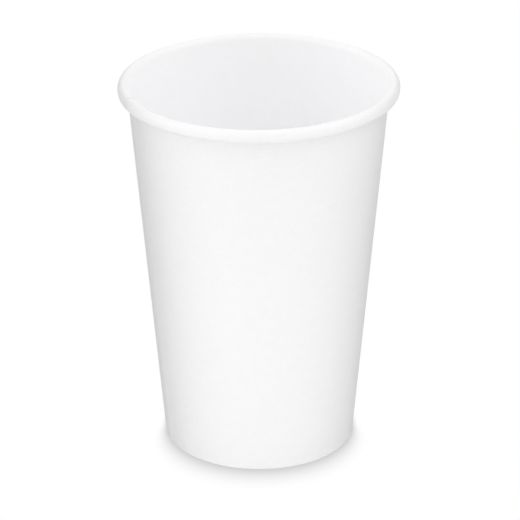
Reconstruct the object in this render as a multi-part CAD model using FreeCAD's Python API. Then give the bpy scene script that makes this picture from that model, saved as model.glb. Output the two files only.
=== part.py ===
import FreeCAD, Part
import math
import os

# A plain single-wall paper coffee cup, made from two paper blanks as the real one is.
# The side blank is wrapped into a cone and lapped along one seam. Its top edge is rolled
# outward into the drinking rim and its bottom edge is folded inward into a hem.
# The bottom blank is a disc with its edge turned down, gripped between the wall and the hem.
# The origin is the centre of the base on the table, +Z is up and -Y faces the viewer.
# A section of the cup is drawn in the XZ plane, with X as the radius.

# Driving dimensions, in millimetres and degrees.
rim_diameter = 80.0         # across the rolled rim
cup_height = 110.0          # table to the top of the rim
base_diameter = 55.5        # across the wall's outside face, carried down to the table

side_sheet = 0.35           # thickness of the side blank
bottom_sheet = 0.30         # thickness of the bottom blank
coating_gap = 0.02          # film left between two sealed faces

rim_height = 3.6            # height of the roll
rim_top_radius = 1.45       # the roll's liquid face, over the top
rim_flank_radius = 3.0      # the roll's liquid face, down the outer side
rim_tuck_gap = 0.1          # tucked end of the roll to the lapped wall
rim_tuck_drop = 0.3         # tucked end of the roll below the centre of its top bend

seam_azimuth = 200.0        # where the inner layer's cut edge lies, from +X towards +Y
seam_lap = 12.0             # angle over which the two layers overlap
seam_ramp = 5.0             # angle in which the outer layer climbs over the inner one
seam_press = 0.85           # thickness kept by each layer after heat sealing
seam_foot = 0.02            # how far the lap stands below the rest of the bottom fold

recess_depth = 7.5          # table to the underside of the floor
floor_bend_radius = 0.5     # inside the bend between the floor and its skirt
hem_end_gap = 0.4           # cut edge of the hem below the floor's bend
fold_radius = 0.08          # inside each corner of the bottom fold
skirt_foot_gap = 0.3        # foot of the skirt above the fold

FULL_TURN = 360.0
ORIGIN = FreeCAD.Vector(0, 0, 0)
UP = FreeCAD.Vector(0, 0, 1)


def point(radius, height):
    """A point of the section."""
    return FreeCAD.Vector(radius, 0, height)


def toward(angle):
    """A unit step in the section, at an angle in radians from the radius towards +Z."""
    return point(math.cos(angle), math.sin(angle))


def arc(centre, radius, start, end):
    """An arc edge of the section between two angles in radians."""
    places = (start, (start + end) / 2, end)
    return Part.Arc(*[centre + toward(angle) * radius for angle in places]).toShape()


def line(start, end):
    """A straight edge of the section."""
    return Part.LineSegment(start, end).toShape()


# The roll of the rim is an oval of tangent arcs, and the wall is tangent to its top bend.
rim_middle = cup_height - rim_height / 2
flank_centre = point(rim_diameter / 2 - rim_flank_radius, rim_middle)
shoulder = rim_flank_radius - rim_top_radius
shoulder_angle = math.asin((rim_height / 2 - rim_top_radius) / shoulder)
top_centre = flank_centre + toward(shoulder_angle) * shoulder

# The wall leans outward by its tilt. Its two directions are along it and out of it.
wall_foot = point(base_diameter / 2, 0)
foot_to_top = top_centre - wall_foot
tilt = math.atan2(foot_to_top.x, foot_to_top.z)
tilt -= math.asin((rim_top_radius - side_sheet) / foot_to_top.Length)
wall_up = toward(math.pi / 2 - tilt)
wall_out = toward(-tilt)
liquid_foot = wall_foot - wall_out * side_sheet

# The fold lies on the table at the lap, and its liquid face is lower elsewhere.
lap_sheet = side_sheet * seam_press
lap_stack = 2 * lap_sheet
single_stack = side_sheet + seam_foot
skirt_room = bottom_sheet + 2 * coating_gap
hem_top = recess_depth - floor_bend_radius - hem_end_gap


def beside_wall(distance, height):
    """The point at a height that lies a distance outward from the wall's liquid face."""
    rise = height - liquid_foot.z
    return point(liquid_foot.x + (distance + rise * math.sin(tilt)) / math.cos(tilt), height)


def toe_radius():
    """Radius of the roll's bottom bend, which touches the flank's arc and the tucked end's line.

    The centre of a bend of radius R lies sqrt((F - R)^2 - (h/2 - R)^2) outward of the flank's
    centre, for a flank of radius F and a roll of height h, and R outward of the tucked end's
    line. Setting the two equal and squaring gives a quadratic in R.
    """
    tuck_line = lap_stack + rim_tuck_gap
    floor_of_roll = point(flank_centre.x, cup_height - rim_height)
    inside = tuck_line - (floor_of_roll - liquid_foot).dot(wall_out)
    lean = 1 + math.sin(tilt)
    across = math.cos(tilt) ** 2
    square = lean ** 2
    linear = 2 * inside * lean + across * (2 * rim_flank_radius - rim_height)
    constant = inside ** 2 - across * (rim_flank_radius ** 2 - rim_height ** 2 / 4)
    return (math.sqrt(linear ** 2 - 4 * square * constant) - linear) / (2 * square)


rim_toe_radius = toe_radius()
toe_angle = math.asin(
    (rim_height / 2 - rim_toe_radius) / (rim_flank_radius - rim_toe_radius)
)
toe_centre = flank_centre + toward(-toe_angle) * (rim_flank_radius - rim_toe_radius)
tuck_length = (top_centre.z - rim_tuck_drop - toe_centre.z) / math.cos(tilt)


def sheet_face(depth, stack):
    """Edges along the side blank at a depth below its liquid face, from hem to tucked end.

    stack is the height of the bottom fold's liquid face above the table.
    """
    hem_end = beside_wall(-skirt_room, hem_top) - wall_out * depth
    corner_height = stack + fold_radius
    hem_corner = beside_wall(fold_radius - skirt_room, corner_height)
    wall_corner = beside_wall(-fold_radius, corner_height)
    corner = fold_radius + depth
    top_bend = rim_top_radius - depth
    flank = rim_flank_radius - depth
    toe = rim_toe_radius - depth
    toe_end = toe_centre - wall_out * toe
    inward = math.pi - tilt
    down = 3 * math.pi / 2
    return [
        line(hem_end, hem_corner - wall_out * corner),
        arc(hem_corner, corner, inward, down),
        line(hem_corner - UP * corner, wall_corner - UP * corner),
        arc(wall_corner, corner, down, 2 * math.pi - tilt),
        line(wall_corner + wall_out * corner, top_centre - wall_out * top_bend),
        arc(top_centre, top_bend, inward, shoulder_angle),
        arc(flank_centre, flank, shoulder_angle, -toe_angle),
        arc(toe_centre, toe, -toe_angle, -math.pi - tilt),
        line(toe_end, toe_end + wall_up * tuck_length),
    ]


def end_point(edge, first):
    """The start or the end of an edge."""
    return edge.valueAt(edge.FirstParameter if first else edge.LastParameter)


def sheet_outline(near, far, stack, azimuth):
    """Closed outline of the side blank's section between two depths, turned to an azimuth."""
    inner = sheet_face(near, stack)
    outer = sheet_face(far, stack)
    tucked_edge = line(end_point(inner[-1], False), end_point(outer[-1], False))
    hem_edge = line(end_point(outer[0], True), end_point(inner[0], True))
    outline = Part.Wire(inner + [tucked_edge] + outer[::-1] + [hem_edge])
    outline.rotate(ORIGIN, UP, azimuth)
    return outline


def swept(outline, angle):
    """An outline filled and carried round the axis by an angle."""
    return Part.Face(outline).revolve(ORIGIN, UP, angle)


def sidewall():
    """The side blank: one layer all round, two in the lap, and the ramp that joins them."""
    lap_start = seam_azimuth - seam_lap
    ramp_end = seam_azimuth + seam_ramp
    single_turn = FULL_TURN - seam_lap - seam_ramp
    single = sheet_outline(0, side_sheet, single_stack, ramp_end)
    lapped = sheet_outline(0, lap_stack, lap_stack, lap_start)
    outer_layer = sheet_outline(lap_sheet, lap_stack, lap_stack, seam_azimuth)
    ramp = Part.makeLoft([outer_layer, single], True, True)
    return swept(single, single_turn).multiFuse([swept(lapped, seam_lap), ramp])


def bottom_disc():
    """The bottom blank: a flat floor with a skirt that hangs beside the wall's liquid face."""
    outer_bend = floor_bend_radius + bottom_sheet
    floor_top = recess_depth + bottom_sheet
    bend_centre = beside_wall(-coating_gap - outer_bend, floor_top - outer_bend)
    foot_outside = beside_wall(-coating_gap, lap_stack + skirt_foot_gap)
    foot_inside = foot_outside - wall_out * bottom_sheet
    upward = math.pi / 2
    edges = [
        line(point(0, recess_depth), bend_centre + UP * floor_bend_radius),
        arc(bend_centre, floor_bend_radius, upward, -tilt),
        line(bend_centre + wall_out * floor_bend_radius, foot_inside),
        line(foot_inside, foot_outside),
        line(foot_outside, bend_centre + wall_out * outer_bend),
        arc(bend_centre, outer_bend, -tilt, upward),
        line(bend_centre + UP * outer_bend, point(0, floor_top)),
        line(point(0, floor_top), point(0, recess_depth)),
    ]
    return swept(Part.Wire(edges), FULL_TURN)


os.makedirs("parts", exist_ok=True)
for name, make in (("sidewall", sidewall), ("bottom_disc", bottom_disc)):
    shape = make()
    if not shape.isValid() or len(shape.Solids) != 1:
        raise ValueError(f"{name} is not one valid solid")
    print(f"{name}: {shape.Volume:.1f} cubic millimetres")
    shape.Solids[0].exportStep(f"parts/{name}.step")
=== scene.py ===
# %% [markdown]
# # A plain paper coffee cup
# The real cup is two pieces of white board with a thin plastic coating on the liquid side.
# One is a fan-shaped side blank, wrapped into a cone, lapped and heat-sealed along a seam.
# Its top edge is rolled outward into the drinking rim, and its bottom edge is folded
# inward and up into a hem. The other piece is a round bottom blank with a turned-down
# skirt, which the hem grips against the wall. Each piece is made here as the sheet of
# board that it is, with its thickness, its cut edges and the two layers of the seam.
# The CAD model of both pieces is loaded first, as the fixed frame that they follow.

import bpy
import numpy as np
from mathutils import Matrix, Vector
from mathutils.bvhtree import BVHTree


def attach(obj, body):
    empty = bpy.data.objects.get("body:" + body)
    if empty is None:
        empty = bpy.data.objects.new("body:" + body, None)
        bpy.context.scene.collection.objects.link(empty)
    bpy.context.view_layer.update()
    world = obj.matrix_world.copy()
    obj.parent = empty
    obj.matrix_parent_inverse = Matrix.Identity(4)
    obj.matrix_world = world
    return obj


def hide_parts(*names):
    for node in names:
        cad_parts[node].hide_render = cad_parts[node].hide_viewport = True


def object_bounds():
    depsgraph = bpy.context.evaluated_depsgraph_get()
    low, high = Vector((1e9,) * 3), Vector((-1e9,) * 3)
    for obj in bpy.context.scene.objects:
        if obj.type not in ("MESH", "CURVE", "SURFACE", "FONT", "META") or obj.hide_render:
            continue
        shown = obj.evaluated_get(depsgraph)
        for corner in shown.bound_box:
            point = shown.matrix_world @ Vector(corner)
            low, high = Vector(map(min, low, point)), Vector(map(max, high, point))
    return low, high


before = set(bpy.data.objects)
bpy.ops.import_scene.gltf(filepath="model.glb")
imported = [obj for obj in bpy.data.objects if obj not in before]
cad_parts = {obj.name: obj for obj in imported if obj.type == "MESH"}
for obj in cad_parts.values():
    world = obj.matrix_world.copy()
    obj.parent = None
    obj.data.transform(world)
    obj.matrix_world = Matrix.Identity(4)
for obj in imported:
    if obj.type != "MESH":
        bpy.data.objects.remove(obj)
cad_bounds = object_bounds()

mm = 0.001
size = cad_bounds[1] - cad_bounds[0]
print(f"the cup is {size.x / mm:.1f} mm across and {size.z / mm:.1f} mm high")

# %% [markdown]
# ## The camera
# The photograph looks down on the cup through a long lens, so the rim and the base are
# close to true ellipses and the walls hardly converge. A camera could be placed by eye,
# but this one is worked out: its distance, height and focal length are the ones with which
# a cup of this size falls on the photograph's outlines. The lens is a length in
# millimetres for a sensor 36 mm wide, and the picture is 520 pixels wide.

# %% Place the camera
picture_width = 520
focal_pixels = 3001.6
camera_distance = 871.5 * mm        # to the middle of the cup's axis
camera_elevation = np.radians(24.258)
camera_roll = np.radians(0.140)
camera_side = 0.223 * mm            # the camera stands this far to the right of the axis
aim_height = 54.138 * mm            # the height on the axis that falls on the middle row
axis_middle = 55 * mm               # the height on the axis from which the distance is taken

camera_data = bpy.data.cameras.new("camera")
camera_data.sensor_width = 36
camera_data.lens = camera_data.sensor_width * focal_pixels / picture_width
camera_data.clip_start = 10 * mm
camera = bpy.data.objects.new("camera", camera_data)
bpy.context.scene.collection.objects.link(camera)
bpy.context.scene.camera = camera

camera.location = (
    camera_side,
    -camera_distance * np.cos(camera_elevation),
    axis_middle + camera_distance * np.sin(camera_elevation),
)
looking = Vector((camera_side, 0, aim_height)) - camera.location
camera.rotation_mode = "QUATERNION"
turn = looking.to_track_quat("-Z", "Y").to_matrix() @ Matrix.Rotation(-camera_roll, 3, "Z")
camera.rotation_quaternion = turn.to_quaternion()
print(f"the lens is {camera_data.lens:.1f} mm")

# %% [markdown]
# ## The section of the side blank
# Cut through the cup's axis, the side blank is one long strip of board. It starts at the
# hem's cut edge, runs down, turns the two corners of the bottom fold, climbs the wall, and
# rolls over and round until its other cut edge is tucked in beside the wall.
# Such a strip could be drawn by hand as a curve. It is worked out here as bends of known
# radius joined by straight runs, because each bend then stays tangent to its neighbours,
# and the same formula gives both faces of the board: a point that lies deeper in the board
# is on the same bend with a larger or smaller radius.
# The foot is a little narrower and the top of the roll a little rounder than on the CAD
# model, because the photograph's outlines ask for it.

# %% Sizes of the section
rim_radius = size.x / 2
cup_height = cad_bounds[1].z
base_radius = 27.55 * mm            # the wall's outside face, carried down to the table
board = 0.35 * mm                   # thickness of the side blank
bottom_board = 0.30 * mm            # thickness of the bottom blank
sealed_gap = 0.02 * mm              # film left between two sealed faces
roll_height = 3.6 * mm
roll_top = 1.60 * mm                # radius of the liquid face, over the top of the roll
roll_flank = 3.0 * mm               # radius of the liquid face, down the roll's outer side
tuck_gap = 0.1 * mm                 # tucked end to the lapped wall
tuck_drop = 0.3 * mm                # tucked end below the centre of the top bend
fold_radius = 0.08 * mm             # inside each corner of the bottom fold
floor_height = 7.5 * mm             # table to the underside of the floor
floor_bend = 0.5 * mm               # inside the bend between the floor and its skirt
hem_end_gap = 0.4 * mm              # the hem's cut edge below that bend
skirt_foot_gap = 0.3 * mm           # foot of the skirt above the fold
pressed = 0.85                      # share of its thickness that a sealed layer keeps
lap_stack = 2 * board * pressed     # the fold's liquid face above the table, in the lap
single_stack = board + sealed_gap   # and elsewhere
skirt_room = bottom_board + 2 * sealed_gap
hem_top = floor_height - floor_bend - hem_end_gap
print(f"the two sealed layers at the seam are {lap_stack / mm:.2f} mm thick")

# %% [markdown]
# Where the roll's bends have their centres, and how far the wall leans, follows from those
# sizes. Both could be read off a drawing. They are worked out here from one condition: each
# stretch of the strip runs into the next without a kink.

# %% Place the roll and lean the wall
def step(angle):
    """A unit step in the section, as (radius, height): the cosine and sine of an angle."""
    return np.stack([np.cos(angle), np.sin(angle)], axis=-1)


flank_centre = np.array([rim_radius - roll_flank, cup_height - roll_height / 2])
shoulder_angle = np.arcsin((roll_height / 2 - roll_top) / (roll_flank - roll_top))
top_centre = flank_centre + (roll_flank - roll_top) * step(shoulder_angle)
foot_to_top = top_centre - (base_radius, 0)
tilt = np.arctan2(*foot_to_top) - np.arcsin((roll_top - board) / np.hypot(*foot_to_top))
wall_up = step(np.pi / 2 - tilt)
wall_out = step(-tilt)
liquid_foot = (base_radius, 0) - board * wall_out
print(f"the wall leans out by {np.degrees(tilt):.2f} degrees")


def beside_wall(distance, height):
    """The point at a height, a distance outward from the wall's liquid face.

    The radius is the foot's, plus the distance and the rise times the tilt's sine, both
    divided by the tilt's cosine.
    """
    rise = height - liquid_foot[1]
    radius = liquid_foot[0] + (distance + rise * np.sin(tilt)) / np.cos(tilt)
    return np.stack(np.broadcast_arrays(radius, height), axis=-1)


# %% [markdown]
# The last bend of the roll touches two things: the flank's arc, and the line beside the
# wall along which the cut edge is tucked. Its radius could be tried out by hand until it
# fits. Both conditions together are a quadratic equation, so it is solved.

# %% Fit the roll's last bend
tuck_line = lap_stack + tuck_gap
roll_floor = np.array([flank_centre[0], cup_height - roll_height])
inside = tuck_line - (roll_floor - liquid_foot) @ wall_out
lean, across = 1 + np.sin(tilt), np.cos(tilt) ** 2
toe_terms = (
    lean**2,
    2 * inside * lean + across * (2 * roll_flank - roll_height),
    inside**2 - across * (roll_flank**2 - roll_height**2 / 4),
)
roll_toe = max(np.roots(toe_terms).real)
toe_angle = np.arcsin((roll_height / 2 - roll_toe) / (roll_flank - roll_toe))
toe_centre = flank_centre + (roll_flank - roll_toe) * step(-toe_angle)
tuck_length = (top_centre[1] - tuck_drop - toe_centre[1]) / np.cos(tilt)
print(f"the roll turns under with a radius of {roll_toe / mm:.2f} mm")

# %% [markdown]
# ## Points along the strip
# Each bend and each straight run gives some rows of points. All columns round the cup are
# worked out at once: depth and stack hold one value for each column, so that the seam,
# where the board is doubled, is only a stretch of columns with other values.

# %% Points along the strip
hem_rows, corner_rows, wall_rows = 7, 5, 10
top_rows, flank_rows, toe_rows = 14, 8, 11


def bend(centre, radius, start, end, rows):
    """Rows of points round a bend: its centre plus its radius times a step at each angle."""
    angles = np.linspace(start, end, rows)
    return centre + np.asarray(radius)[..., None] * step(angles)[:, None, :]


def straight(first, last, rows):
    """Rows of points from a first one, evenly spaced, up to but without the last one."""
    share = np.arange(rows)[:, None, None] / rows
    return first + share * (last - first)


def strip(depth, stack):
    """The side blank's section at a depth under its liquid face: rows, columns, (r, z).

    A bend that turns about the liquid side has its radius made larger by the depth, and
    one that turns about the other side has it made smaller.
    """
    corner = fold_radius + depth
    corner_height = stack + fold_radius
    hem_corner = beside_wall(fold_radius - skirt_room, corner_height)
    wall_corner = beside_wall(-fold_radius, corner_height)
    hem_end = beside_wall(-skirt_room, hem_top) - depth[:, None] * wall_out
    down = 1.5 * np.pi
    hem_bend = bend(hem_corner, corner, np.pi - tilt, down, corner_rows)
    wall_bend = bend(wall_corner, corner, down, 2 * np.pi - tilt, corner_rows)
    top_bend = bend(top_centre, roll_top - depth, np.pi - tilt, shoulder_angle, top_rows)
    flank = bend(flank_centre, roll_flank - depth, shoulder_angle, -toe_angle, flank_rows)
    toe = bend(toe_centre, roll_toe - depth, -toe_angle, -np.pi - tilt, toe_rows)
    hem = straight(hem_end, hem_bend[0], hem_rows)
    wall = straight(wall_bend[-1], top_bend[0], wall_rows)[1:]
    tuck = toe[-1:] + tuck_length * wall_up
    return np.concatenate([hem, hem_bend, wall_bend, wall, top_bend, flank[1:], toe[1:], tuck])


wall_start = hem_rows + 2 * corner_rows
roll_start = wall_start + wall_rows - 1
print(f"the wall is rows {wall_start} to {roll_start}, and the roll comes after it")

# %% [markdown]
# ## Wrapping the blank round the cup
# The blank goes round a little more than once. It starts at the outer layer's cut edge,
# lies over the other end for the width of the lap, steps down onto its own level, goes all
# the way round, and ends under its own beginning. A Solidify modifier on a cone could not
# show this, so the wrap angle runs past a full turn and the depth follows it.
# On the photograph the rim shows no step where the layers end, only a faint speck. The
# roll squeezes the lap much thinner than the wall's seal does, so it is made thinner there,
# and the thinning comes in gently as the rows climb the wall.

# %% Wrap the blank
lap_start, seam_end, ramp_end = 188.0, 200.0, 205.0   # degrees from +X towards +Y
wrap_columns = 800
press_ease = 3.0                                      # degrees in which the press begins
rolled_thin, thin_ease = 0.8, 5.0                     # what the roll takes off, and how gently

wrap = np.linspace(lap_start, 360 + seam_end, wrap_columns)


def smooth(value, start, end):
    """Eases from 0 at start to 1 at end: 3 x squared minus 2 x cubed, x being the share."""
    share = np.clip((value - start) / (end - start), 0, 1)
    return share**2 * (3 - 2 * share)


over = 1 - smooth(wrap, seam_end, ramp_end)
under = smooth(wrap, 360 + lap_start - press_ease, 360 + lap_start)
doubled = np.maximum(over, under)
stack = single_stack + doubled * (lap_stack + sealed_gap / 2 - single_stack)


def both_faces(thinned):
    """The strip's liquid and outside face, for the share of its thickness lost at the edge.

    The inner layer thins towards its cut edge, and the layer behind it comes up as much.
    """
    own = 1 - thinned * smooth(wrap, 360 + seam_end - thin_ease, 360 + seam_end)
    other = 1 - thinned * smooth(wrap, seam_end - thin_ease, seam_end)
    thickness = board * (1 + (pressed - 1) * doubled) * own
    lift = over * (board * pressed * other + sealed_gap / 2)
    return np.stack([strip(lift, stack), strip(lift + thickness, stack)])


as_cut, flattened = both_faces(0), both_faces(rolled_thin)
rows = np.arange(as_cut.shape[1])
rolled = smooth(rows, wall_start, roll_start)
liquid_section, outside_section = as_cut + rolled[:, None, None] * (flattened - as_cut)
print(f"the strip has {len(liquid_section)} rows and the wrap {wrap_columns} columns")

# %% [markdown]
# ## The knurled hem
# A toothed roller squeezes the hem onto the skirt while the seal is hot. It leaves a row
# of upright flutes on the hem's inner side, which show from below. They could be a bump
# pattern, but they catch the light as real hollows, so the outer face of the board is
# pressed in there: less thickness where a tooth went in, and none lost near the fold.

# %% Press the flutes into the hem
flutes = 88
flute_depth = 0.11 * mm
flute_start, flute_full = 0.05, 0.3   # shares of the hem's height between which they begin
flute_sharpness = 1.5                 # above 1, the hollows are narrower than the ridges

height_on_hem = (outside_section[:hem_rows, :, 1] - single_stack) / (hem_top - single_stack)
band = smooth(height_on_hem, flute_start, flute_full)
tooth = (0.5 + 0.5 * np.cos(np.radians(wrap) * flutes)) ** flute_sharpness
outside_section[:hem_rows] += (flute_depth * band * tooth)[..., None] * wall_out
print(f"{flutes} flutes, one every {2 * np.pi * base_radius / flutes / mm:.1f} mm")

# %% [markdown]
# ## From section to cup
# A cup of board is never perfectly round. It keeps faint waves from the wrapping and a
# slight oval from being stacked, a few hundredths of a millimetre that only the reflections
# show. The mouth isn't quite level either: on the photograph the rim's ellipse is turned a
# little against the base's, which is a rise of a quarter of a millimetre on the right. All
# this could be sculpted, but a few sine waves give it as a formula, and both pieces go
# through the same one, so that they stay in touch.

# %% Turn a section into places in space
oval = 0.05 * mm
oval_turn = 0.7                     # phase of the oval's cosine, in radians
ripple = 0.02 * mm
ripple_peak = 0.8                   # share of the height at which the ripple is strongest
ripple_waves = (
    # times round the cup, drift over its height and start in radians, share
    (5, 2.6, 0.0, 1.0),
    (8, -3.1, 1.3, 0.6),
)
mouth_rise = 0.24 * mm              # on the right, and as much lower on the left


def out_of_round(azimuth, height):
    """How far the board stands out of round, at an azimuth in degrees and a height.

    The oval is the cosine of twice the azimuth, and grows with the height. The ripple is a
    sum of sine waves round the cup that drift sideways on their way up.
    """
    turn = np.radians(azimuth)
    climb = height / cup_height
    waves = sum(
        share * np.sin(times * turn + drift * climb + start)
        for times, drift, start, share in ripple_waves
    )
    grown = climb * (2 * ripple_peak - climb)
    return climb * oval * np.cos(2 * turn + oval_turn) + ripple * waves * grown


def around(section, azimuth):
    """Places a section's points round the axis, each column at its azimuth in degrees.

    x and y are the radius times the azimuth's cosine and sine, and z is the height plus the
    mouth's rise, which grows with x and with the height.
    """
    height = section[..., 1]
    radius = section[..., 0] + out_of_round(azimuth, height)
    turn = np.radians(azimuth)
    x, y = radius * np.cos(turn), radius * np.sin(turn)
    rise = mouth_rise * (x / rim_radius) * (height / cup_height)
    return np.stack([x, y, height + rise], axis=-1)


widest = np.abs(out_of_round(wrap, cup_height)).max()
print(f"the rim is at most {widest / mm:.2f} mm out of round")

# %% [markdown]
# ## Making the mesh
# The sheet is two grids of points, the liquid face and the outside face, closed by a narrow
# strip along each of the blank's four cut edges. Blender keeps one material number for each
# face, so the coated side, the plain side and the raw edge can be told apart.
# The flat blank is remembered too: an attribute says where on the flat sheet each point
# was, so that the fibres of the paper follow the board round the cup and over the rim.

# %% Helpers that make a mesh
crease = np.radians(50)             # two faces that meet at more than this keep their edge


def quads(first, second):
    """Four-cornered faces between two rows of point numbers, in the rows' order."""
    return np.stack([first[:-1], first[1:], second[1:], second[:-1]], axis=-1).reshape(-1, 4)


def grid_quads(numbers):
    """Four-cornered faces of a whole grid of point numbers, row by row."""
    corners = numbers[:-1, :-1], numbers[:-1, 1:], numbers[1:, 1:], numbers[1:, :-1]
    return np.stack(corners, axis=-1).reshape(-1, 4)


def fan(pole, ring):
    """Three-cornered faces from one point to a row of point numbers around it."""
    return np.stack([np.full(len(ring) - 1, pole), ring[1:], ring[:-1]], axis=-1)


def make_piece(name, points, faces, materials, blank_place):
    """A mesh object from points, a list of (faces, material number) and its materials."""
    all_faces = [face for group, _ in faces for face in group.tolist()]
    numbers = np.concatenate([np.full(len(group), number) for group, number in faces])
    mesh = bpy.data.meshes.new(name)
    mesh.from_pydata(points.reshape(-1, 3), [], all_faces)
    for material in materials:
        mesh.materials.append(material)
    mesh.polygons.foreach_set("material_index", numbers.astype(np.int32))
    place = mesh.attributes.new("blank_place", "FLOAT_VECTOR", "POINT")
    place.data.foreach_set("vector", blank_place.astype(np.float32).ravel())
    mesh.shade_smooth()
    mesh.set_sharp_from_angle(angle=crease)
    piece = bpy.data.objects.new(name, mesh)
    bpy.context.scene.collection.objects.link(piece)
    return piece


def enclosed(piece):
    """The volume inside a closed mesh, and how many triangles it has.

    The volume is a sixth of the sum of each triangle's triple product.
    """
    mesh = piece.data
    mesh.calc_loop_triangles()
    places = np.empty(len(mesh.vertices) * 3, np.float32)
    mesh.vertices.foreach_get("co", places)
    corners = np.empty(len(mesh.loop_triangles) * 3, np.int32)
    mesh.loop_triangles.foreach_get("vertices", corners)
    a, b, c = places.reshape(-1, 3).astype(float)[corners.reshape(-1, 3)].transpose(1, 0, 2)
    return np.einsum("ij,ij->", a, np.cross(b, c)) / 6, len(corners) // 3


print("a grid of 3 by 3 points has", len(grid_quads(np.arange(9).reshape(3, 3))), "faces")

# %% [markdown]
# ## A group for the board's fibres
# Cup board looks plain white, but close to it is a felt of wood fibres under a thin clay
# coating. The fibres lie a little more one way than the other and give a fine tooth, and
# thin and thick patches make faint clouds. A painted picture could hold all that, but a
# fine and a coarse noise texture need no file and have no seams. Because every finish of
# the cup uses them, they are built once as a node group with named inputs and outputs. It
# puts out a tone, a height and a gloss that change over the surface.

# %% Helpers for nodes
def add(tree, kind, inputs=None, **settings):
    """Adds a node, gives it its settings, and fills or links its inputs by name or number."""
    made = tree.nodes.new(kind)
    for setting, value in settings.items():
        setattr(made, setting, value)
    for socket, value in (inputs or {}).items():
        if isinstance(value, bpy.types.NodeSocket):
            tree.links.new(value, made.inputs[socket])
        else:
            made.inputs[socket].default_value = value
    return made


def maths(tree, operation, *values):
    """A Math node's output for one operation on one, two or three values or sockets."""
    return add(tree, "ShaderNodeMath", dict(enumerate(values)), operation=operation).outputs[0]


def new_group(name, inputs, outputs):
    """An empty shader node group with named sockets, and its input and output nodes."""
    tree = bpy.data.node_groups.new(name, "ShaderNodeTree")
    for label, kind, value in inputs:
        socket = tree.interface.new_socket(label, in_out="INPUT", socket_type=kind)
        if value is not None:
            socket.default_value = value
    for label, kind in outputs:
        tree.interface.new_socket(label, in_out="OUTPUT", socket_type=kind)
    return tree, tree.nodes.new("NodeGroupInput"), tree.nodes.new("NodeGroupOutput")


# %% The board's fibres
FLOAT, VECTOR = "NodeSocketFloat", "NodeSocketVector"
lie_of_fibres = (1.0, 0.85, 1.0)    # under 1 is longer, here along the flat sheet's Y
felt_share = 0.8                    # of the tone, and the rest comes from the clouds
palest, deepest = 0.64, 0.36        # the noise between these gives the whole range of tones

fibres, given, result = new_group(
    "board fibres",
    [("Place", VECTOR, None), ("Fibre size", FLOAT, 0.3 * mm), ("Cloud size", FLOAT, 3 * mm)],
    [("Tone", FLOAT), ("Height", FLOAT), ("Gloss", FLOAT)],
)
along = add(
    fibres, "ShaderNodeMapping", {"Vector": given.outputs["Place"], "Scale": lie_of_fibres}
)
fibre_scale = maths(fibres, "DIVIDE", 1.0, given.outputs["Fibre size"])
cloud_scale = maths(fibres, "DIVIDE", 1.0, given.outputs["Cloud size"])
felt = add(
    fibres,
    "ShaderNodeTexNoise",
    {"Vector": along.outputs[0], "Scale": fibre_scale, "Detail": 3.0, "Roughness": 0.65},
)
cloud = add(
    fibres,
    "ShaderNodeTexNoise",
    {"Vector": given.outputs["Place"], "Scale": cloud_scale, "Detail": 4.0, "Roughness": 0.55},
)
felt_part = maths(fibres, "MULTIPLY", felt.outputs["Fac"], felt_share)
cloud_part = maths(fibres, "MULTIPLY", cloud.outputs["Fac"], 1 - felt_share)
blend = maths(fibres, "ADD", felt_part, cloud_part)
whole_range = {"Value": blend, "From Min": deepest, "From Max": palest}
tone = add(fibres, "ShaderNodeMapRange", whole_range)
fibres.links.new(tone.outputs[0], result.inputs["Tone"])
fibres.links.new(felt.outputs["Fac"], result.inputs["Height"])
fibres.links.new(cloud.outputs["Fac"], result.inputs["Gloss"])
print("group made:", fibres.name)

# %% [markdown]
# ## The finishes
# The outside is clay-coated board: matt, very white and a little toothy. The liquid side
# has a film of plastic melted onto it, so it is smoother and takes a soft gloss. Where the
# blank was cut the raw board shows, a shade warmer and quite dull. All are the same shader
# with other values, so one function makes them. The plain values are set on the shader,
# and only what changes over the surface goes through the group.
# Thin white board also lets some light through into the cup. A translucent shader could
# show that, but it is noisy and slow, so the film's two shades are lighter than real ones:
# painted light in place of what comes through. The roll, which no such light reaches, keeps
# the shades of plain board, by a mask that the mesh carries.

# %% A function for the finishes
MIX_A, MIX_B, MIXED = 6, 7, 2       # where a Mix node keeps its colour sockets


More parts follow.
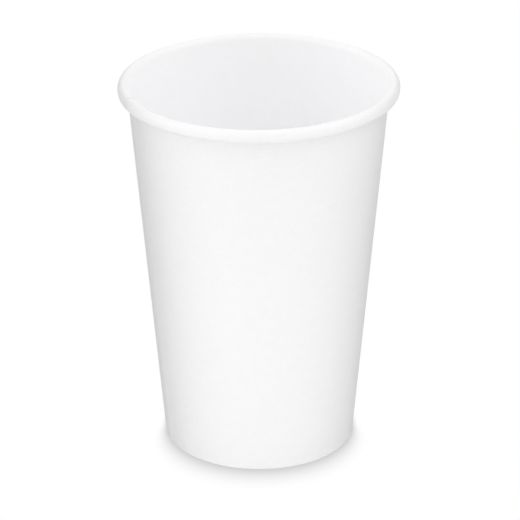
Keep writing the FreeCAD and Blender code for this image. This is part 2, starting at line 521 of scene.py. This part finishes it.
def board_finish(name, shades, shine, roughness, tooth, sizes, over_roll=None):
    """A white board: two shades mixed by the fibres, a range of roughness and a fine bump.

    over_roll gives two other shades for the roll, where the mesh's mask on_roll is 1.
    """
    material = bpy.data.materials.new(name)
    material.use_nodes = True
    tree = material.node_tree
    shader = tree.nodes["Principled BSDF"]
    shader.inputs["Specular IOR Level"].default_value = shine
    place = add(tree, "ShaderNodeAttribute", attribute_name="blank_place").outputs["Vector"]
    grain = add(tree, "ShaderNodeGroup", node_tree=fibres)
    tree.links.new(place, grain.inputs["Place"])
    grain.inputs["Fibre size"].default_value, grain.inputs["Cloud size"].default_value = sizes
    dark, light = shades
    shade = add(tree, "ShaderNodeMix", data_type="RGBA")
    tree.links.new(grain.outputs["Tone"], shade.inputs[0])
    shade.inputs[MIX_A].default_value = (*dark, 1)
    shade.inputs[MIX_B].default_value = (*light, 1)
    if over_roll:
        dark, light = over_roll
        rim_shade = add(tree, "ShaderNodeMix", {0: grain.outputs["Tone"]}, data_type="RGBA")
        rim_shade.inputs[MIX_A].default_value = (*dark, 1)
        rim_shade.inputs[MIX_B].default_value = (*light, 1)
        mask = add(tree, "ShaderNodeAttribute", attribute_name="on_roll").outputs["Fac"]
        inner_shade = shade.outputs[MIXED]
        shade = add(tree, "ShaderNodeMix", {0: mask}, data_type="RGBA")
        tree.links.new(inner_shade, shade.inputs[MIX_A])
        tree.links.new(rim_shade.outputs[MIXED], shade.inputs[MIX_B])
    tree.links.new(shade.outputs[MIXED], shader.inputs["Base Color"])
    spread = {"Value": grain.outputs["Gloss"], "From Min": 0.3, "From Max": 0.7}
    spread["To Min"], spread["To Max"] = roughness
    rough = add(tree, "ShaderNodeMapRange", spread)
    tree.links.new(rough.outputs[0], shader.inputs["Roughness"])
    bump = add(tree, "ShaderNodeBump", {"Height": grain.outputs["Height"], "Distance": tooth})
    tree.links.new(bump.outputs[0], shader.inputs["Normal"])
    return material


# %% [markdown]
# Each finish gets its two shades, its shine, its range of roughness, the depth of its tooth,
# and the sizes of its fibres and clouds. Such numbers could be looked up for real board. The
# two white finishes were set by comparing renders with the photograph, because what counts
# there is how strong the grain looks from this distance.

# %% Make the finishes
white_board = (0.876, 0.876, 0.876), (0.934, 0.934, 0.934)
# the film's shades are lighter than real film's: painted light for what the thin board lets through
film_with_painted_light = (0.940, 0.940, 0.946), (0.996, 0.996, 1.0)
raw_board = (0.74, 0.71, 0.66), (0.86, 0.84, 0.80)
outside_finish = board_finish(
    "board_outside", white_board, 0.2, (0.55, 0.65), 0.005 * mm, (0.35 * mm, 2.5 * mm)
)
liquid_finish = board_finish(
    "board_coated", film_with_painted_light, 0.5, (0.32, 0.40), 0.005 * mm, (0.4 * mm, 4 * mm), white_board
)
edge_finish = board_finish(
    "board_cut_edge", raw_board, 0.2, (0.80, 0.90), 0.02 * mm, (0.12 * mm, 0.6 * mm)
)
print("finishes:", [m.name for m in (outside_finish, liquid_finish, edge_finish)])

# %% [markdown]
# ## The side blank in place
# The fan-shaped blank is part of a flat ring. Rolled into a cone, its straight distance
# from the cone's tip stays what it was, and its angle about the tip shrinks by the sine of
# the wall's tilt. Those two numbers are where each point was on the flat sheet.
# The fibres could also be mapped from the finished cup, but then they would run on across
# the seam and be stretched over the rim.

# %% Lay the side blank flat
def lengths_along(section):
    """The distance along a section's rows, from the first one, at its middle column."""
    middle = section[:, section.shape[1] // 2]
    return np.concatenate([[0], np.cumsum(np.hypot(*np.diff(middle, axis=0).T))])


length = lengths_along(liquid_section)
fold_row = hem_rows + corner_rows
from_tip = base_radius / np.sin(tilt) + length - length[fold_row]
flat_angle = np.radians(wrap) * np.sin(tilt)
flat_place = np.stack(
    [
        from_tip[:, None] * np.sin(flat_angle),
        from_tip[:, None] * np.cos(flat_angle),
        np.zeros((len(length), wrap_columns)),
    ],
    axis=-1,
)
fan_angle = np.degrees(flat_angle[-1] - flat_angle[0])
near, far = from_tip[0] / mm, from_tip[-1] / mm
print(f"flat: from {near:.0f} to {far:.0f} mm from its tip, over {fan_angle:.1f} degrees")

# %% Build the side blank
roll_ease = 4                       # rows over which the film's shades give way on the roll

wall_points = np.stack([around(liquid_section, wrap), around(outside_section, wrap)])
number = np.arange(wall_points[..., 0].size).reshape(wall_points.shape[:3])
liquid, outside = number
wall_faces = [
    (grid_quads(outside), 0),
    (grid_quads(liquid)[:, ::-1], 1),
    (quads(liquid[0], outside[0]), 2),
    (quads(outside[-1], liquid[-1]), 2),
    (quads(outside[:, 0], liquid[:, 0]), 2),
    (quads(liquid[:, -1], outside[:, -1]), 2),
]
side = make_piece(
    "cup_wall",
    wall_points,
    wall_faces,
    (outside_finish, liquid_finish, edge_finish),
    np.stack([flat_place, flat_place]),
)
# along this mask the film's painted light gives way to plain board's shades on the roll
on_roll = np.repeat(smooth(rows, roll_start, roll_start + roll_ease), wrap_columns)
mask = side.data.attributes.new("on_roll", "FLOAT", "POINT")
mask.data.foreach_set("value", np.tile(on_roll, 2).astype(np.float32))
volume, triangles = enclosed(side)
print(f"cup_wall: {triangles} triangles around {volume / mm**3:.0f} cubic millimetres")

# %% [markdown]
# ## The bottom disc
# The bottom blank is a flat disc whose edge is drawn down into a skirt. There is more paper
# at the edge than the skirt has room for, so it gathers into fine pleats round the bend.
# The floor itself springs back into a very shallow dome. A flat cylinder with a bevel would
# do from far away. Here each face again follows straight runs and a bend, from the axis out
# and down to the skirt's foot, where a narrow strip closes the two.

# %% The two faces of the disc
disc_columns = 528
pleats = 66
pleat_depth = 0.035 * mm
pleat_width = 1.6 * mm              # how far a pleat reaches to each side of the bend
dome = 0.25 * mm
floor_rows, bend_rows, skirt_rows = 14, 7, 4

outer_bend = floor_bend + bottom_board
floor_top = floor_height + bottom_board
bend_centre = beside_wall(-sealed_gap - outer_bend, floor_top - outer_bend)
foot_outside = beside_wall(-sealed_gap, lap_stack + skirt_foot_gap)
disc_azimuth = np.arange(disc_columns) * 360 / disc_columns


def disc_face(bend_radius, floor_z, foot):
    """One face of the disc: from the axis along the floor, round the bend, down the skirt."""
    over_bend = bend(bend_centre, [bend_radius], np.pi / 2, -tilt, bend_rows)
    floor = straight(np.array([[0, floor_z]]), over_bend[0], floor_rows)
    skirt = straight(over_bend[-1], foot[None], skirt_rows)[1:]
    section = np.concatenate([floor, over_bend, skirt, foot[None, None]])
    return np.repeat(section, disc_columns, axis=1)


def settle(section):
    """Domes the floor and gathers its edge into pleats, and leaves the skirt as it was.

    The dome loses height with the square of the distance from the axis. The pleats are a
    cosine round the cup, times e to the power of minus the square of the distance from the
    bend's centre over the pleats' width.
    """
    share = np.clip(section[..., 0] / bend_centre[0], 0, 1)
    from_bend = (section[..., 0] - bend_centre[0]) / pleat_width
    ripples = np.cos(np.radians(disc_azimuth) * pleats) * np.exp(-(from_bend**2))
    on_floor = smooth(section[..., 1], floor_height - 2 * floor_bend, floor_height)
    section = section.copy()
    section[..., 1] += (dome * (1 - share**2) + pleat_depth * ripples) * on_floor
    return section


top_section = settle(disc_face(outer_bend, floor_top, foot_outside))
under_section = settle(
    disc_face(floor_bend, floor_height, foot_outside - bottom_board * wall_out)
)
disc_rings = np.stack([around(top_section, disc_azimuth), around(under_section, disc_azimuth)])
disc_length = lengths_along(top_section)[:, None]
print(f"flat: a disc {2 * disc_length[-1, 0] / mm:.1f} mm across, with {pleats} pleats")

# %% Build the bottom disc
disc_turn = np.radians(disc_azimuth)
flat_rings = np.stack(
    [disc_length * np.cos(disc_turn), disc_length * np.sin(disc_turn), 0 * disc_length * disc_turn],
    axis=-1,
)
poles = disc_rings[:, 0, 0]
rings = disc_rings[:, 1:]
number = 2 + np.arange(rings[..., 0].size).reshape(rings.shape[:3])
number = np.concatenate([number, number[..., :1]], axis=-1)
top_side, under_side = number
disc_faces = [
    (fan(1, under_side[0]), 0),
    (grid_quads(under_side), 0),
    (fan(0, top_side[0])[:, ::-1], 1),
    (grid_quads(top_side)[:, ::-1], 1),
    (quads(under_side[-1], top_side[-1]), 2),
]
bottom = make_piece(
    "cup_bottom",
    np.concatenate([poles, rings.reshape(-1, 3)]),
    disc_faces,
    (outside_finish, liquid_finish, edge_finish),
    np.concatenate([np.zeros((2, 3)), np.tile(flat_rings[1:].reshape(-1, 3), (2, 1))]),
)
volume, triangles = enclosed(bottom)
print(f"cup_bottom: {triangles} triangles around {volume / mm**3:.0f} cubic millimetres")

# %% [markdown]
# ## The pieces take their places on the frame
# Each mesh replaces one node of the CAD model and rides on the cup's only body. Before that,
# the distance from the new points to the CAD surface is measured. The eye could compare the
# two as well, but a wrong sign or a wrong size shows at once in the number. It should stay
# within a few tenths of a millimetre.

# %% Put the pieces on the frame
every = 23                          # one point in so many is measured, which is enough
places = (side, "sidewall", "side_board"), (bottom, "bottom_disc", "bottom_board")
for piece, node, slot in places:
    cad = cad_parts[node]
    corners = [vertex.co for vertex in cad.data.vertices]
    tree = BVHTree.FromPolygons(corners, [face.vertices for face in cad.data.polygons])
    gaps = [tree.find_nearest(vertex.co)[3] for vertex in list(piece.data.vertices)[::every]]
    print(f"{piece.name} lies within {max(gaps) / mm:.2f} mm of the CAD node {node}")
    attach(piece, "root")
    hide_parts(node)

# %% [markdown]
# ## The floor
# The cup stands on a white sweep. What the camera sees of it is a painted glow, pure white,
# with a soft painted shadow where the two touch. On the photograph the shadow is narrow
# beside the cup and reaches about a centimetre out in front. Lamps could be placed for it,
# but the white around would need many of them. So what the camera sees of the floor, glow
# and painted shadow, is worked out from the distance to the cup, while for all other light
# the floor is a plain pale grey.

# %% Lay the floor
floor_reach = 2.5                   # metres from the cup to each edge

floor_mesh = bpy.data.meshes.new("floor")
corners = [(-1, -1, 0), (1, -1, 0), (1, 1, 0), (-1, 1, 0)]
floor_mesh.from_pydata(np.array(corners) * floor_reach, [], [(0, 1, 2, 3)])
floor = bpy.data.objects.new("floor", floor_mesh)
bpy.context.scene.collection.objects.link(floor)
print(f"the floor is {2 * floor_reach} m wide")

# %% [markdown]
# The painted shadow is light left out of the floor's glow. It is deepest at the cup's foot and
# falls off with a power of the share of the way that is left to its edge, and its edge lies
# farther out the more a place is in front. It could be a picture of a shadow, but this has no
# pixels to enlarge.

# %% The floor's finish
floor_grey = 0.9                    # what the cup's light bounces off
# the painted shadow in the floor's glow: its reach beside and in front, its depth, its power
painted_shadow_beside = 2.40 * mm            # how far the shade reaches beside the cup
painted_shadow_in_front = 11.70 * mm         # and how much farther in front of it
painted_shadow_depth = 0.36                  # light that is missing where the cup touches the floor
painted_shadow_falloff = 2.2                 # the power

floor_finish = bpy.data.materials.new("floor_white_painted_shadow")
floor_finish.use_nodes = True
nodes = floor_finish.node_tree
floor_shader = nodes.nodes["Principled BSDF"]
floor_shader.inputs["Roughness"].default_value = 0.9
floor_shader.inputs["Specular IOR Level"].default_value = 0.0

place = add(nodes, "ShaderNodeTexCoord").outputs["Object"]
distance = add(nodes, "ShaderNodeVectorMath", {0: place}, operation="LENGTH").outputs["Value"]
y = add(nodes, "ShaderNodeSeparateXYZ", {0: place}).outputs["Y"]
toward_front = maths(nodes, "DIVIDE", maths(nodes, "MULTIPLY", y, -1.0), distance)
forward = maths(nodes, "MAXIMUM", toward_front, 0.0)
reach = maths(nodes, "MULTIPLY_ADD", forward, painted_shadow_in_front, painted_shadow_beside)
beyond = maths(nodes, "SUBTRACT", distance, base_radius)
fading = {"Value": beyond, "From Max": reach, "To Min": 1.0, "To Max": 0.0}
share = add(nodes, "ShaderNodeMapRange", fading)
falloff = maths(nodes, "POWER", share.outputs[0], painted_shadow_falloff)
# the strength of the floor's glow, with the painted shadow taken out of it
white = maths(nodes, "MULTIPLY_ADD", falloff, -painted_shadow_depth, 1.0)

# camera rays see only this glow, which no lamp gives; all other light finds a grey floor
in_view = add(nodes, "ShaderNodeLightPath").outputs["Is Camera Ray"]
floor_shade = add(nodes, "ShaderNodeMix", {0: in_view}, data_type="RGBA")
floor_shade.inputs[MIX_A].default_value = (floor_grey, floor_grey, floor_grey, 1)
floor_shade.inputs[MIX_B].default_value = (0, 0, 0, 1)
nodes.links.new(floor_shade.outputs[MIXED], floor_shader.inputs["Base Color"])
floor_shader.inputs["Emission Color"].default_value = (1, 1, 1, 1)
nodes.links.new(maths(nodes, "MULTIPLY", white, in_view), floor_shader.inputs["Emission Strength"])
floor_mesh.materials.append(floor_finish)
longest = (painted_shadow_beside + painted_shadow_in_front) / mm
print(f"the shade reaches {longest:.1f} mm out in front of the cup")

# %% [markdown]
# ## A group for one soft light
# A softbox or a lit sheet seen from the cup is a bright patch with soft edges. Area lamps
# would do, but a patch painted on the world has no distance and leaves little noise. The
# patch is brightest along its axis. It fades with e to the power of a product: the cosine
# of the angle from the axis, less one, times the sharpness. All the soft lights share this
# one group.

# %% A group for one soft light
soft_light, given, result = new_group(
    "soft light",
    [
        ("Toward", VECTOR, None),
        ("Axis", VECTOR, None),
        ("Sharpness", FLOAT, 10.0),
        ("Strength", FLOAT, 1.0),
    ],
    [("Light", FLOAT)],
)
directions = {0: given.outputs["Toward"], 1: given.outputs["Axis"]}
cosine = add(soft_light, "ShaderNodeVectorMath", directions, operation="DOT_PRODUCT")
below = maths(soft_light, "SUBTRACT", cosine.outputs["Value"], 1.0)
exponent = maths(soft_light, "MULTIPLY", below, given.outputs["Sharpness"])
patch = maths(soft_light, "EXPONENT", exponent)
strength = maths(soft_light, "MULTIPLY", patch, given.outputs["Strength"])
soft_light.links.new(strength, result.inputs["Light"])
print("group made:", soft_light.name)

# %% [markdown]
# ## The light tent
# The photograph has no hard highlight and hardly any shadow. The middle of the wall is
# brightest, both of its sides are darker, and the inside is lit evenly from above. That is
# a light tent: a pale hood all round, with some parts of it brighter than others. The
# strengths could be tried out one by one. They were found by rendering the cup once under
# each light alone, and then looking for the sum of those pictures that comes closest to the
# photograph. Afterwards the light behind was dimmed, for the sake of the rim's back edge,
# and the tent raised a little to make up for it. Camera rays see plain white instead of the
# hood. White board passes light on many times inside a cup, so the light may bounce more
# often than it does by default.

# %% Light the tent
tent_strength = 0.722
soft_lights = (
    # azimuth, elevation, sharpness, strength
    (180, 22, 14.0, 1.666),         # on the left, over the card
    (0, 45, 12.0, 1.144),           # on the right, from above
    (90, 45, 12.0, 0.350),          # behind, from above
    (225, 45, 12.0, 0.646),         # in front and to the left, from above
    (315, 45, 12.0, 0.533),         # in front and to the right, from above
)
most_bounces = 24

world = bpy.data.worlds.new("light_tent")
bpy.context.scene.world = world
world.use_nodes = True
sky = world.node_tree
toward = add(sky, "ShaderNodeTexCoord").outputs["Generated"]
total = tent_strength
for azimuth, elevation, sharpness, strength in soft_lights:
    level = np.cos(np.radians(elevation))
    axis = np.array([*(level * step(np.radians(azimuth))), np.sin(np.radians(elevation))])
    light = add(sky, "ShaderNodeGroup", node_tree=soft_light)
    sky.links.new(toward, light.inputs["Toward"])
    light.inputs["Axis"].default_value = axis
    light.inputs["Sharpness"].default_value = sharpness
    light.inputs["Strength"].default_value = strength
    total = maths(sky, "ADD", total, light.outputs["Light"])
seen = add(sky, "ShaderNodeLightPath").outputs["Is Camera Ray"]
unseen = maths(sky, "SUBTRACT", 1.0, seen)
shown = maths(sky, "ADD", seen, maths(sky, "MULTIPLY", unseen, total))
background = sky.nodes["Background"]
background.inputs["Color"].default_value = (1, 1, 1, 1)
sky.links.new(shown, background.inputs["Strength"])
bpy.context.scene.view_settings.view_transform = "Standard"
bpy.context.scene.cycles.max_bounces = most_bounces
bpy.context.scene.cycles.diffuse_bounces = most_bounces
print(f"a tent of strength {tent_strength} with {len(soft_lights)} soft lights")

# %% [markdown]
# ## The cards round the cup
# To keep a white cup from vanishing on a white ground, a photographer stands darker cards
# close to its sides. They give the wall the soft dark edges that it has on the photograph.
# A low card in front does the opposite and brightens the wall, but not the inside. The
# cards are out of the picture, so they are simply kept from the camera and from reflections.

# %% Stand the cards round the cup
cards = (
    # name, brightness, foot's two ends (x, y) in mm, height of foot and top in mm
    ("card_left", 0.425, (-70, -28), (-70, 115), 4, 135),
    ("card_right", 0.489, (70, -28), (70, 115), 4, 135),
    ("card_front", 1.223, (-200, -240), (200, -240), 2, 95),
)

for name, brightness, start, end, foot, top in cards:
    corners = np.array([(*start, foot), (*end, foot), (*end, top), (*start, top)]) * mm
    card_mesh = bpy.data.meshes.new(name)
    card_mesh.from_pydata(corners, [], [(0, 1, 2, 3)])
    card = bpy.data.objects.new(name, card_mesh)
    bpy.context.scene.collection.objects.link(card)
    card.visible_camera = False
    card.visible_glossy = False
    paint = bpy.data.materials.new(name)
    paint.use_nodes = True
    card_shader = paint.node_tree.nodes["Principled BSDF"]
    card_shader.inputs["Base Color"].default_value = (0, 0, 0, 1)
    card_shader.inputs["Specular IOR Level"].default_value = 0.0
    card_shader.inputs["Emission Color"].default_value = (1, 1, 1, 1)
    card_shader.inputs["Emission Strength"].default_value = brightness
    card_mesh.materials.append(paint)
print("cards:", [name for name, *_ in cards])
